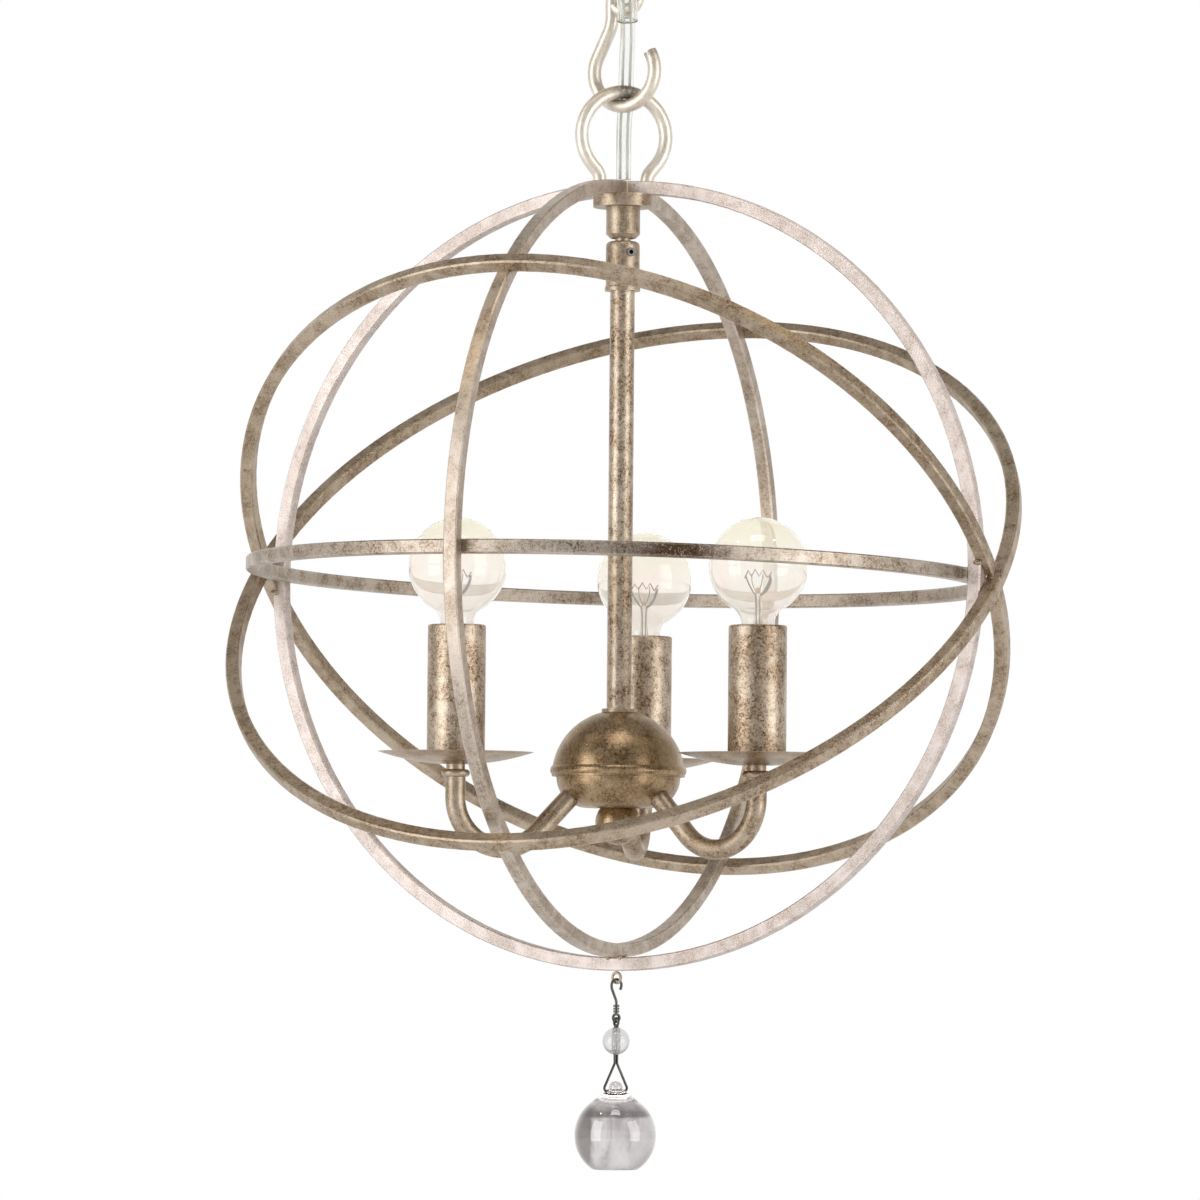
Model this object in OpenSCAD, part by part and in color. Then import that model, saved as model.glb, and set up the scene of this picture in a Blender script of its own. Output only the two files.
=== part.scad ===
// Mini chandelier: a round cage of welded bar rings that hangs from a hook, with a
// three-light cluster on a swivelling stem inside it and a crystal drop below.
// Millimetres, +Z up. The origin is the centre of the mounting strap, at the ceiling.

/* [Ceiling fitting] */
// Diameter of the canopy
canopy_dia = 127; // [120:1:150]
// Height of the canopy
canopy_h = 26; // [24:1:34]
// Sheet thickness of the canopy
canopy_wall = 1.2; // [0.8:0.1:2]
// Radius of the canopy's rounded edge
canopy_round = 18; // [10:1:20]
// Length of the mounting strap
strap_len = 106; // [104:1:108]
// Width of the mounting strap
strap_w = 20; // [18:1:26]
// Thickness of the mounting strap
strap_t = 2; // [1.5:0.1:3]
// Distance between the strap's two screw slots
slot_spacing = 88.9; // [82:0.1:90]
// Width of a screw slot
slot_w = 4.8; // [4.2:0.1:5.5]
// Length of a screw slot, end to end
slot_len = 12; // [8:1:14]
// Diameter of the threaded nipple
nipple_dia = 9.5; // [8:0.1:10]
// Thickness of the lock nut on the nipple
locknut_t = 4; // [3:0.5:5]
// Outer diameter of the loop's threaded shank
shank_dia = 14; // [13:0.5:16]
// Outer diameter of the collar nut under the canopy
collar_dia = 22; // [20:1:25]
// Height of the collar nut
collar_h = 6; // [4:0.5:9]
// Wire diameter of the canopy loop
eye_wire = 5; // [4:0.1:5.4]
// Centreline radius of the canopy loop
eye_r = 8; // [8:0.1:12]
// Length of the shank below the collar nut
shank_drop = 2.8; // [2:0.1:8]
// Distance of the cord bushing from the centre
bushing_reach = 19; // [19:0.5:24]
// Outer diameter of the bushing's flange
bushing_dia = 15; // [13:0.5:15]
// Thickness of the bushing's flange
bushing_t = 2; // [1:0.5:3]

/* [Hook and loop] */
// Wire diameter of the hook
hook_wire = 7; // [6:0.1:7.2]
// Inner radius of the hook's closed eye
hook_eye_in = 4; // [3.6:0.1:5]
// Height from the centre of the eye to the bottom of the hook
hook_drop = 56.8; // [54:0.2:80]
// Centreline radius of the hook's open bow
bow_r = 17.8; // [16:0.1:20]
// Slope of the hook's neck from upright
neck_slope = 27; // [22:1:32]
// Bend radius where the neck leaves the eye
neck_bend = 20; // [16:1:22]
// How far the open end rises past level
hook_lip = 32; // [10:1:40]
// Turn of the hook about the vertical
hook_turn = -3; // [-10:1:0]
// Wire diameter of the suspension loop
loop_wire = 7; // [6:0.1:7.2]
// Height of the loop's top centreline above the hub
loop_h = 53.5; // [50:0.1:70]
// Centreline radius of the loop
loop_r = 22.8; // [21:0.1:26]
// Distance of each foot of the loop from the centre
loop_foot = 12.8; // [12:0.1:14]
// Outward slope of the loop's legs
leg_slope = 40; // [36:1:44]
// Bend radius of the loop's legs
leg_bend = 8; // [6:0.5:9]
// Turn of the loop about the vertical, so that its feet stand between the rings
loop_turn = 45; // [42:1:48]

/* [Cage] */
// Thickness of the square ring bar
bar = 7; // [6:0.1:7.4]
// Small bevel along the edges of the bar
bar_bevel = 0.7; // [0.3:0.1:1.2]
// Centreline radius of the upright ring that carries the cage
ring_a_r = 199.5; // [190:0.5:200]
// How far the inner tilted ring's centreline lies outside the upright ring's
ring_d_out = 4.5; // [3.5:0.5:5.5]
// How far the outer tilted ring's centreline lies outside the inner one's
ring_e_out = 3; // [2.5:0.5:5]
// Turn of the second upright ring from square
ring_b_turn = 2; // [0:0.5:4]
// Tilt of the inner tilted ring, front side up
tilt_d = 46.5; // [43:0.5:50]
// Tilt of the outer tilted ring, back side up
tilt_e = 42.3; // [38:0.5:46]
// Turn of the tilted pair about the vertical
pair_turn = 2.5; // [0:0.5:4]
// Lean of the tilted pair, near end down
pair_lean = 1.3; // [0:0.1:2]
// Lean of the level ring along the cage's axis
level_lean = 0.6; // [0:0.1:1]
// Lean of the level ring front to back
level_pitch = 1.4; // [0:0.1:2]
// Size of the weld lugs that join the level ring to the upright ring
lug = 6; // [4:0.5:7]
// Diameter of the hub plate on which the rings meet
hub_dia = 31; // [30:0.5:40]
// Thickness of the hub plate
hub_t = 6.2; // [4:0.1:9]
// Diameter of the hub's upright boss
boss_dia = 11; // [10:0.5:12]
// Diameter of the cord's way through the hub
cord_way = 8; // [7:0.1:8.6]
// Wire diameter of the small eyelet under the cage
eyelet_wire = 1.5; // [1.2:0.1:1.8]
// Centreline radius of the eyelet
eyelet_r = 2.6; // [2.5:0.1:3.2]

/* [Swivel and stem] */
// Diameter of the swivel cup
cup_dia = 17.5; // [17:0.1:20]
// Height of the swivel cup
cup_h = 16; // [15:0.5:22]
// Diameter of the swivel ball
ball_dia = 14; // [13.5:0.1:14.4]
// Diameter of the neck below the ball
neck_dia = 8; // [7:0.1:8.2]
// Diameter of the cup's mouth
mouth_dia = 11; // [10.6:0.1:11.4]
// Gap between the cup and the coupling
neck_gap = 1.6; // [1.5:0.1:3]
// Diameter of the stem coupling
coupling_dia = 17.4; // [17:0.1:20]
// Height of the stem coupling
coupling_h = 25.6; // [25:0.1:32]
// Diameter of the lip at the coupling's lower end
coupling_lip_dia = 18.3; // [17.8:0.1:22]
// Diameter of the set screw in the coupling
set_screw_dia = 4.6; // [4:0.1:5]
// Outer diameter of the stem tube
stem_dia = 12.7; // [11:0.1:13]
// Wall of the stem tube
stem_wall = 1; // [0.8:0.1:1.5]
// Length of stem that shows between the coupling and the body
stem_len = 215.1; // [190:0.1:220]

/* [Cluster body] */
// Radius of the domed upper shell
dome_r = 34.2; // [32:0.1:38]
// Radius of the lower shell
bowl_r = 31.8; // [30:0.1:32]
// Radius of the lower shell's rounded edge
bowl_round = 16; // [14:0.5:18]
// Wall of both shells
shell_wall = 1.6; // [1:0.1:2]
// Radius of the bead round the upper shell's edge
rim_bead_r = 3.1; // [2:0.1:3.4]
// Diameter of the collar where the stem meets the body
stem_collar_dia = 17.7; // [17:0.1:22]
// Height of that collar
stem_collar_h = 1.7; // [1.2:0.1:4]
// Radius of the round finial
finial_r = 11.6; // [10:0.1:13]
// Radius of the finial's seat against the body
finial_seat_r = 9.2; // [8:0.1:9.6]

/* [Arms and candles] */
// Distance of each candle from the stem
arm_reach = 89; // [86:0.5:92]
// Outer diameter of the arm tube
arm_dia = 10.3; // [9.6:0.1:10.8]
// Wall of the arm tube
arm_wall = 1; // [0.8:0.1:1.2]
// Bend radius of the arm
arm_bend = 25.8; // [24:0.1:28]
// Downward slope at which the arms leave the body
arm_slope = 46; // [44:0.5:50]
// Depth of the arm's lowest centreline below the body's seam
arm_drop = 37.3; // [36:0.1:39]
// Height of the arm's top end against the body's seam
arm_top = -1.5; // [-6:0.1:4]
// Direction of the first arm, seen from above
arm_turn = 108.4; // [105:0.1:112]
// Diameter of the ring under each dish
check_dia = 14.7; // [13:0.1:20]
// Height of the ring under each dish
check_h = 3.8; // [2:0.1:6]
// Length of the neck between that ring and the dish
check_neck = 2.6; // [1:0.1:5]
// Diameter of the dishes
dish_dia = 79.5; // [70:0.5:84]
// Rise of the dish from its centre to its rim
dish_rise = 6.2; // [4:0.1:12]
// Sheet thickness of the dishes
dish_wall = 1.2; // [0.8:0.1:1.6]
// Outer diameter of the candle sleeves
sleeve_dia = 29.6; // [28.4:0.1:32]
// Wall of the candle sleeves
sleeve_wall = 1.2; // [0.8:0.1:1.4]
// Length of the candle sleeves
sleeve_len = 69; // [66:0.5:84]
// Diameter of the opening in a sleeve's top
sleeve_mouth = 20; // [19.4:0.1:22]
// Diameter of the lamp sockets
socket_dia = 24; // [22:0.1:25.4]
// Length of the lamp sockets
socket_len = 44; // [36:1:48]
// Diameter of the sockets' threaded stems
socket_stem_dia = 8; // [7:0.1:8]

/* [Bulbs] */
// Diameter of the round bulbs
bulb_dia = 50; // [45:0.5:54]
// Height of the bulb's centre above the sleeve
bulb_up = 29.7; // [28:0.1:34]
// Diameter of the bulb's neck
bulb_neck_dia = 17; // [15:0.1:18]
// Radius where the neck flares into the globe
bulb_flare = 8; // [5:0.5:9]
// Distance from the bulb's centre down to its base
bulb_stem = 35; // [33:0.5:37]
// Glass thickness
glass_wall = 0.8; // [0.6:0.1:1]
// Diameter of the lamp base's screw shell
base_dia = 11.8; // [11:0.1:12]
// Length of the lamp base's screw shell
base_len = 13; // [11:0.5:15]

/* [Crystal drop] */
// Wire diameter of the drop's links
link_wire = 1.4; // [1.1:0.1:1.5]
// Centreline radius of the hook in the eyelet
drop_hook_r = 3; // [2.8:0.1:3.4]
// Length of the drop's hook, from its bow to its lower ring
drop_hook_len = 16.7; // [15:0.1:22]
// Centreline radius of the small rings
link_r = 1.9; // [1.8:0.1:2.4]
// Diameter of the bead
bead_dia = 14; // [12:0.5:16]
// Diameter of the hole through the bead
bead_hole = 3; // [2.9:0.1:3.6]
// Length of the bail's closed part below the bead
bail_neck = 3.8; // [2:0.2:10]
// Outward slope of the bail's legs
bail_slope = 27; // [24:1:34]
// Diameter of the crystal drop
crystal_dia = 42; // [40:0.2:46]
// Height of the crystal's shoulder above its widest part
crystal_rise = 22.6; // [22:0.2:26]
// Depth of the crystal's flat underside below its widest part
crystal_sink = 17.4; // [16:0.2:19]
// Radius of the crystal's shoulder, where the bail's feet enter it
shoulder_r = 5.2; // [5:0.1:7]
// Radius of the small knob on the crystal
knob_r = 3.6; // [3:0.1:4]

/* [Cord] */
// Width of the flat cord
cord_w = 8; // [7:0.1:8.4]
// Thickness of the flat cord
cord_t = 4; // [3.4:0.1:4.2]
// Diameter of the clear sleeve round the cord
cord_sleeve_dia = 10.8; // [10:0.1:11.2]

/* [Hidden] */
$fn = 64;
seat = 0.1;
link_gap = 0.3;
end_gap = 0.8;
over = 1;
wire_lap = 0.1;
wire_ease = 0.015;

// Heights of the hanging chain, from the ceiling down
canopy_floor = -canopy_h;
collar_z = canopy_floor - seat - collar_h;
bushing_low = canopy_floor - seat - bushing_t;
eye_z = collar_z - shank_drop - eye_r;
hook_z = eye_z - eye_r + eye_wire / 2 + link_gap - hook_eye_in;
hook_low = hook_z - hook_drop;
loop_top = hook_low + hook_wire / 2 + link_gap + loop_wire / 2;
hub_top = loop_top - loop_h;
cage_z = hub_top - (ring_a_r - bar / 2) + seat;
boss_top = cage_z + ring_a_r + bar / 2;
hub_low = hub_top - hub_t;
cup_low = hub_low - seat - cup_h;
coupling_top = cup_low - neck_gap;
coupling_low = coupling_top - coupling_h;
collar_top = coupling_low - stem_len;
dome_flat = collar_top - stem_collar_h - seat;
seam_z = dome_flat - sqrt(pow(dome_r, 2) - pow(stem_collar_dia / 2, 2));
bowl_top = seam_z - seat;
bowl_low = bowl_top - bowl_round;

// Ceiling fitting
shank_rise = 14;
shank_top = canopy_floor + shank_rise;
nipple_bore = 5.6;
nipple_sink = 4;
nipple_low = canopy_floor - nipple_sink;
collar_round = 0.3;
bushing_neck_dia = 12;
bushing_neck_h = 6;
bushing_bore = 9;
bushing_turn = -93;

// Hook and loop
hook_eye_r = hook_eye_in + hook_wire / 2;
hook_eye_turn = 322;
neck_run = (bow_r * cos(neck_slope) - hook_eye_r - neck_bend * (1 - cos(neck_slope))) / sin(neck_slope);
neck_top = hook_drop - bow_r - bow_r * sin(neck_slope) - neck_bend * sin(neck_slope)
    - neck_run * cos(neck_slope);
leg_run = (loop_r * cos(leg_slope) - loop_foot - leg_bend * (1 - cos(leg_slope))) / sin(leg_slope);
leg_foot = loop_h - loop_r - loop_r * sin(leg_slope) - leg_bend * sin(leg_slope)
    - leg_run * cos(leg_slope) - seat;

// Rings of the cage: the second upright ring stands inside the first, the level ring inside both,
// and the tilted rings lie round the outside
ring_d_r = ring_a_r + ring_d_out;
ring_e_r = ring_d_r + ring_e_out;
ring_b_r = ring_a_r - bar / 2;
ring_b_lift = bar / 2 + seat;
ring_c_gap = 0.4;
ring_c_r = ring_b_r - bar - ring_c_gap;
slot_w_hub = 1.2;

// Swivel: the ball's centre lies so far above the cup's mouth that the cup holds it
ball_r = ball_dia / 2;
ball_up = 6;
ball_z = cup_low + ball_up;
ball_play = 0.08;
cup_stub_dia = cord_way - 2 * seat;
cup_stub_h = 4;
cup_taper = 2.2;
wire_way = 4.4;
neck_sink = 10;
stem_sink = 12;
shoulder_round = 2.5;
lip_h = 3;
screw_turn = -35;
screw_z = coupling_top - 6;
screw_proud = 0.4;
screw_socket = 2.6;

// Cluster body
stem_in = stem_dia - 2 * stem_wall;
rod_dia = stem_in - 2 * seat;
rod_up = 14;
rod_sink = 7;
bowl_flat = bowl_r - bowl_round;
rim_proud = 0.8;
finial_z = bowl_low - seat - sqrt(pow(finial_r, 2) - pow(finial_seat_r, 2));
core_r = 16;
core_low = bowl_low + shell_wall + 0.4;
core_h = 25;

// Arms
arm_in = arm_dia - 2 * arm_wall;
arm_start_r = 13;
arm_low = seam_z - arm_drop;
bend_end_r = arm_reach - arm_bend - arm_bend * sin(arm_slope);
arm_run = (bend_end_r - arm_start_r) / cos(arm_slope);
arm_top_z = seam_z + arm_top;
arm_up = arm_top_z - (arm_low + arm_bend);

// Candles, from the arm's top end upwards
check_z = arm_top_z + seat;
check_neck_dia = 9.6;
dish_z = check_z + check_h + check_neck + seat;
dish_flat = 9;
dish_rim = dish_dia / 2;
dish_c = (pow(dish_rim, 2) - pow(dish_flat, 2) + pow(dish_rise, 2)) / (2 * dish_rise);
dish_r = sqrt(pow(dish_c, 2) + pow(dish_flat, 2));
sleeve_r = sleeve_dia / 2;
sleeve_z = dish_z + dish_c - sqrt(pow(dish_r - dish_wall, 2) - pow(sleeve_r, 2)) + seat;
sleeve_top = sleeve_z + sleeve_len;
bulb_z = sleeve_top + bulb_up;
bulb_r = bulb_dia / 2;
neck_r = bulb_neck_dia / 2;
flare_r = neck_r + bulb_flare;
flare_z = sqrt(pow(bulb_r + bulb_flare, 2) - pow(flare_r, 2));
base_top = bulb_z - bulb_stem;
base_flange = 1.3;
base_tip = 3;
socket_top = base_top - base_flange - link_gap;
socket_low = socket_top - socket_len;
tip_r = 2.4;
filament_turn = 25;
stem_share = 0.42;
glass_stem_r = 3;
lead_in = 2;
lead_out = 5;
lead_up = 2;
lead_dia = 0.7;
zigs = 5;
zig_h = 3;
filament_dia = 0.5;
socket_leg_dia = 12;
socket_sink = 10;
base_play = 0.08;

// Crystal drop
eyelet_z = cage_z - ring_a_r - bar / 2 - seat - eyelet_r - eyelet_wire / 2;
eyelet_turn = -10;
drop_turn = 60;
drop_bow_z = eyelet_z - eyelet_r + eyelet_wire / 2 + link_gap + link_wire / 2 - drop_hook_r;
drop_eye_z = drop_bow_z - drop_hook_len;
jog_slope = 24;
jog_bend = 5;
jog_run = (drop_hook_r - 2 * jog_bend * (1 - cos(jog_slope))) / sin(jog_slope);
jog_h = 2 * jog_bend * sin(jog_slope) + jog_run * cos(jog_slope);
wrap_n = 3;
wrap_h = wrap_n * link_wire;
bail_ring_z = drop_eye_z - 2 * link_r + link_wire + link_gap;
bead_top = bail_ring_z - link_r - link_wire / 2 - seat;
bead_z = bead_top - bead_dia / 2;
strand_x = 0.7;
strand_dia = 1.3;
bail_bend = 3;
foot_bend = 1.5;
foot_x = shoulder_r + foot_bend + 0.2;
bail_bend_z = bead_z - bead_dia / 2 - bail_neck;
bail_run = (foot_x - strand_x - (bail_bend + foot_bend) * (1 - cos(bail_slope))) / sin(bail_slope);
foot_z = bail_bend_z - (bail_bend + foot_bend) * sin(bail_slope) - bail_run * cos(bail_slope) - foot_bend;
foot_len = 1.8;
crystal_r = crystal_dia / 2;
foot_play = 0.08;
foot_hole = 2.6;
crystal_z = foot_z - crystal_rise;
cone_tilt = atan(shoulder_r / crystal_rise)
    + acos(crystal_r / sqrt(pow(crystal_rise, 2) + pow(shoulder_r, 2)));
cone_top = 1.5;

// Route of the cord, from the hub's boss to its sleeve
cord_route = [
    [0, 0, boss_top + end_gap], [0, 0, boss_top + 6], [-0.3, 0.6, boss_top + 14],
    [-1.6, 3.1, boss_top + 22], [-3, 6.2, loop_top - 16], [-3.4, 8, loop_top - 8],
    [-3.2, 8.2, loop_top], [-1.8, 5.8, loop_top + 9], [0.6, 1.6, loop_top + 18],
    [3.4, -3.4, hook_z - 23], [5.4, -7.6, hook_z - 14]];
// Route of the cord's clear sleeve, up to the bushing, which it meets straight from below
sleeve_route = [
    [5.4, -7.6, hook_z - 14 + end_gap], [6.4, -10.6, hook_z - 4], [6.4, -14.8, hook_z + 5],
    [3, -17.8, canopy_floor - 12], [-0.6, -18.9, canopy_floor - 8],
    [-1, -19, bushing_low - 4], [-1, -19, bushing_low - end_gap]];
cord_sides = 12;

finish_color = "#a89c86";
pale_color = "#cfc4b4";
dark_color = "#7d6f58";
glass_color = [0.93, 0.92, 0.88, 0.5];
crystal_color = [0.8, 0.84, 0.86, 0.5];
wire_color = "#56534e";

// A round wire that starts upwards; each step is a straight length, a bend radius and a bend.
// The bends are a hair thinner and lap into the straights, so that all join as one solid.
module wire(d, steps, i = 0) {
    if (i < len(steps)) {
        run = steps[i][0];
        r = steps[i][1];
        a = steps[i][2];
        side = a < 0 ? -1 : 1;
        if (run > 0) cylinder(h = run, d = d);
        translate([0, 0, run]) {
            if (a != 0) {
                lap = wire_lap / r * 180 / PI;
                translate([side * r, 0, 0])
                    rotate([90, 0, a > 0 ? 180 : 0]) rotate([0, 0, -lap])
                        rotate_extrude(angle = abs(a) + 2 * lap)
                            translate([r, 0]) circle(d = d - 2 * wire_ease);
                translate([side * r, 0, 0]) rotate([0, a, 0]) translate([-side * r, 0, 0])
                    wire(d, steps, i + 1);
            }
        }
    }
}

// A closed ring of round wire that stands upright across X
module wire_ring(r, d) {
    rotate([90, 0, 0]) rotate_extrude() translate([r, 0]) circle(d = d);
}

// A round tube along Z
module tube(h, d_out, d_in) {
    difference() {
        cylinder(h = h, d = d_out);
        translate([0, 0, -1]) cylinder(h = h + 2, d = d_in);
    }
}

// A flat ring of bevelled square bar, made larger by grow for a seat in another ring
module bar_ring(r, grow = 0) {
    half = bar / 2 + grow;
    flat = half - bar_bevel;
    rotate_extrude($fn = 180) translate([r, 0])
        polygon([[-half, -flat], [-flat, -half], [flat, -half], [half, -flat],
                 [half, flat], [flat, half], [-flat, half], [-half, flat]]);
}

// The five rings, each at its place in the cage
module ring_a_shape(grow = 0) {
    translate([0, 0, cage_z]) rotate([90, 0, 0]) bar_ring(ring_a_r, grow);
}

module ring_b_shape(grow = 0) {
    translate([0, 0, cage_z + ring_b_lift]) rotate([0, 0, ring_b_turn]) rotate([0, 90, 0])
        bar_ring(ring_b_r, grow);
}

module ring_d_shape(grow = 0) {
    translate([0, 0, cage_z]) rotate([0, pair_lean, pair_turn]) rotate([-tilt_d, 0, 0])
        bar_ring(ring_d_r, grow);
}

module ring_e_shape(grow = 0) {
    translate([0, 0, cage_z]) rotate([0, pair_lean, pair_turn]) rotate([tilt_e, 0, 0])
        bar_ring(ring_e_r, grow);
}

// What the hub takes out of a ring: room for the boss, and a flat seat on the plate
module hub_room() {
    translate([0, 0, hub_low]) cylinder(h = hub_t + 3 * bar, d = boss_dia + 2 * seat);
    translate([0, 0, hub_low]) cylinder(h = hub_t + seat, d = hub_dia + 2 * seat);
}

// A cylinder or tube end rounded outwards at its top
module round_top(h, r, round) {
    cylinder(h = h - round, r = r);
    cylinder(h = h, r = r - round);
    translate([0, 0, h - round]) rotate_extrude() translate([r - round, 0]) circle(r = round);
}

// A flat cord swept along points, with its broad side across the width direction
function unit(v) = v / norm(v);
function heading(pts, i) = unit(pts[min(i + 1, len(pts) - 1)] - pts[max(i - 1, 0)]);
function broad(pts, i) = unit(cross(heading(pts, i), [-0.45, 0.89, 0.2]));
function thin(pts, i) = cross(heading(pts, i), broad(pts, i));

module cord(pts, w, t) {
    n = cord_sides;
    last = (len(pts) - 1) * n;
    polyhedron(
        points = [for (i = [0:len(pts) - 1]) for (k = [0:n - 1])
            pts[i] + w / 2 * cos(360 * k / n) * broad(pts, i) + t / 2 * sin(360 * k / n) * thin(pts, i)],
        faces = concat(
            [[for (k = [0:n - 1]) k]],
            [[for (k = [n - 1:-1:0]) last + k]],
            [for (i = [0:len(pts) - 2]) for (k = [0:n - 1])
                [i * n + k, (i + 1) * n + k, i * n + (k + 1) % n]],
            [for (i = [0:len(pts) - 2]) for (k = [0:n - 1])
                [i * n + (k + 1) % n, (i + 1) * n + k, (i + 1) * n + (k + 1) % n]]));
}

module mounting_strap() {
    color(dark_color) difference() {
        translate([-strap_len / 2, -strap_w / 2, -strap_t]) cube([strap_len, strap_w, strap_t]);
        translate([0, 0, -strap_t - over]) cylinder(h = strap_t + 2 * over, d = nipple_dia + 2 * seat);
        for (side = [-1, 1]) {
            for (end = [-1, 1])
                translate([side * slot_spacing / 2 + end * (slot_len - slot_w) / 2, 0, -strap_t - over])
                    cylinder(h = strap_t + 2 * over, d = slot_w);
            translate([side * slot_spacing / 2 - (slot_len - slot_w) / 2, -slot_w / 2, -strap_t - over])
                cube([slot_len - slot_w, slot_w, strap_t + 2 * over]);
        }
    }
}

module threaded_nipple() {
    color(dark_color) translate([0, 0, nipple_low]) tube(-nipple_low, nipple_dia, nipple_bore);
}

module strap_locknut() {
    color(dark_color) translate([0, 0, -strap_t - seat - locknut_t]) difference() {
        cylinder(h = locknut_t, d = nipple_dia * 1.8, $fn = 6);
        translate([0, 0, -over]) cylinder(h = locknut_t + 2 * over, d = nipple_dia + 2 * seat);
    }
}

// The canopy's solid form, made smaller by a wall thickness for its hollow
module canopy_form(less) {
    r = canopy_dia / 2 - less;
    round = canopy_round - less;
    translate([0, 0, canopy_floor + less]) {
        translate([0, 0, round]) cylinder(h = canopy_h - round - less, r = r);
        cylinder(h = canopy_h - less, r = r - round);
        intersection() {
            translate([0, 0, round]) rotate_extrude() translate([r - round, 0]) circle(r = round);
            cylinder(h = canopy_h - less, r = r + over);
        }
    }
}

module canopy() {
    color(finish_color) difference() {
        canopy_form(0);
        canopy_form(canopy_wall);
        translate([0, 0, canopy_round - canopy_h])
            cylinder(h = canopy_h, r = canopy_dia / 2 - canopy_wall);
        translate([0, 0, canopy_floor - over]) cylinder(h = canopy_h, d = shank_dia + 2 * seat);
        rotate([0, 0, bushing_turn]) translate([bushing_reach, 0, canopy_floor - over])
            cylinder(h = bushing_neck_h, d = bushing_neck_dia + 2 * seat);
    }
}

module canopy_loop() {
    color(finish_color) {
        difference() {
            translate([0, 0, eye_z + eye_r]) cylinder(h = shank_top - eye_z - eye_r, d = shank_dia);
            translate([0, 0, nipple_low - over])
                cylinder(h = shank_top - nipple_low + 2 * over, d = nipple_dia + 2 * seat);
        }
        translate([0, 0, eye_z]) rotate([0, 0, hook_turn + 90]) wire_ring(eye_r, eye_wire);
    }
}

module loop_collar() {
    color(finish_color) translate([0, 0, collar_z]) difference() {
        translate([0, 0, collar_h]) rotate([180, 0, 0])
            round_top(collar_h, collar_dia / 2, collar_h * collar_round);
        translate([0, 0, -over]) cylinder(h = collar_h + 2 * over, d = shank_dia + 2 * seat);
    }
}

module cord_bushing() {
    color("#e8e6e0") rotate([0, 0, bushing_turn]) translate([bushing_reach, 0, 0]) difference() {
        union() {
            translate([0, 0, bushing_low]) cylinder(h = bushing_t, d = bushing_dia);
            translate([0, 0, bushing_low]) cylinder(h = bushing_t + bushing_neck_h, d = bushing_neck_dia);
        }
        translate([0, 0, bushing_low - over]) cylinder(h = bushing_t + bushing_neck_h + 2 * over, d = bushing_bore);
    }
}

module hook() {
    color(pale_color) rotate([0, 0, hook_turn]) translate([0, 0, hook_z]) {
        translate([-hook_eye_r, 0, 0]) wire(hook_wire, [[0, hook_eye_r, hook_eye_turn]]);
        translate([-hook_eye_r, 0, 0]) rotate([180, 0, 0])
            wire(hook_wire, [[neck_top, neck_bend, -neck_slope],
                             [neck_run, bow_r, 180 + neck_slope + hook_lip]]);
    }
}

module power_cord() {
    color([0.85, 0.85, 0.8, 0.6]) cord(cord_route, cord_w, cord_t);
}

module cord_sleeve() {
    color([0.9, 0.9, 0.88, 0.5]) cord(sleeve_route, cord_sleeve_dia, cord_sleeve_dia);
}

module suspension_loop() {
    color(pale_color) translate([0, 0, hub_top + seat]) rotate([0, 0, loop_turn])
        translate([loop_foot, 0, 0])
            wire(loop_wire, [[leg_foot, leg_bend, leg_slope],
                             [leg_run, loop_r, -(180 + 2 * leg_slope)],
                             [leg_run, leg_bend, leg_slope],
                             [leg_foot, 1, 0]]);
}

module top_hub() {
    color(pale_color) difference() {
        union() {
            translate([0, 0, hub_low]) cylinder(h = hub_t, d = hub_dia);
            translate([0, 0, hub_low]) cylinder(h = boss_top - hub_low, d = boss_dia);
        }
        translate([0, 0, hub_low - over]) cylinder(h = boss_top - hub_low + 2 * over, d = cord_way);
        rotate([0, 0, hook_turn - 60]) translate([0, -slot_w_hub / 2, hub_top + seat])
            cube([boss_dia, slot_w_hub, boss_top - hub_top]);
    }
}

module ring_upright_outer() {
    color(pale_color) difference() {
        ring_a_shape();
        ring_d_shape(seat);
        hub_room();
    }
}

module ring_upright_inner() {
    color(finish_color) difference() {
        ring_b_shape();
        ring_d_shape(seat);
        hub_room();
    }
}

module ring_level() {
    color(finish_color) translate([0, 0, cage_z]) rotate([0, level_lean, 0]) rotate([-level_pitch, 0, 0]) {
        bar_ring(ring_c_r);
        for (side = [-1, 1])
            translate([side * (ring_c_r + ring_a_r - bar / 2 - seat) / 2, 0, 0])
                cube([ring_a_r - bar / 2 - seat - ring_c_r, lug, lug], center = true);
    }
}

module ring_tilted_inner() {
    color(finish_color) difference() {
        ring_d_shape();
        ring_e_shape(seat);
    }
}

module ring_tilted_outer() {
    color(finish_color) ring_e_shape();
}

module eyelet() {
    color(finish_color) translate([0, 0, eyelet_z]) rotate([0, 0, eyelet_turn])
        wire_ring(eyelet_r, eyelet_wire);
}

module swivel_cup() {
    color(finish_color) difference() {
        union() {
            translate([0, 0, cup_low]) cylinder(h = cup_taper, r1 = cup_dia / 2 - cup_taper, r2 = cup_dia / 2);
            translate([0, 0, cup_low + cup_taper]) cylinder(h = cup_h - cup_taper, d = cup_dia);
            translate([0, 0, cup_low]) cylinder(h = cup_h + cup_stub_h, d = cup_stub_dia);
        }
        translate([0, 0, ball_z]) sphere(r = ball_r + ball_play);
        translate([0, 0, cup_low - over]) cylinder(h = ball_up, d = mouth_dia);
        translate([0, 0, ball_z]) cylinder(h = cup_h + cup_stub_h, d = wire_way);
    }
}

module swivel_ball() {
    color(finish_color) difference() {
        union() {
            translate([0, 0, ball_z]) sphere(r = ball_r);
            translate([0, 0, coupling_top - neck_sink])
                cylinder(h = ball_z - coupling_top + neck_sink, d = neck_dia);
        }
        translate([0, 0, coupling_top - neck_sink - over])
            cylinder(h = cup_h + neck_sink + 2 * ball_r, d = wire_way);
    }
}

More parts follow.
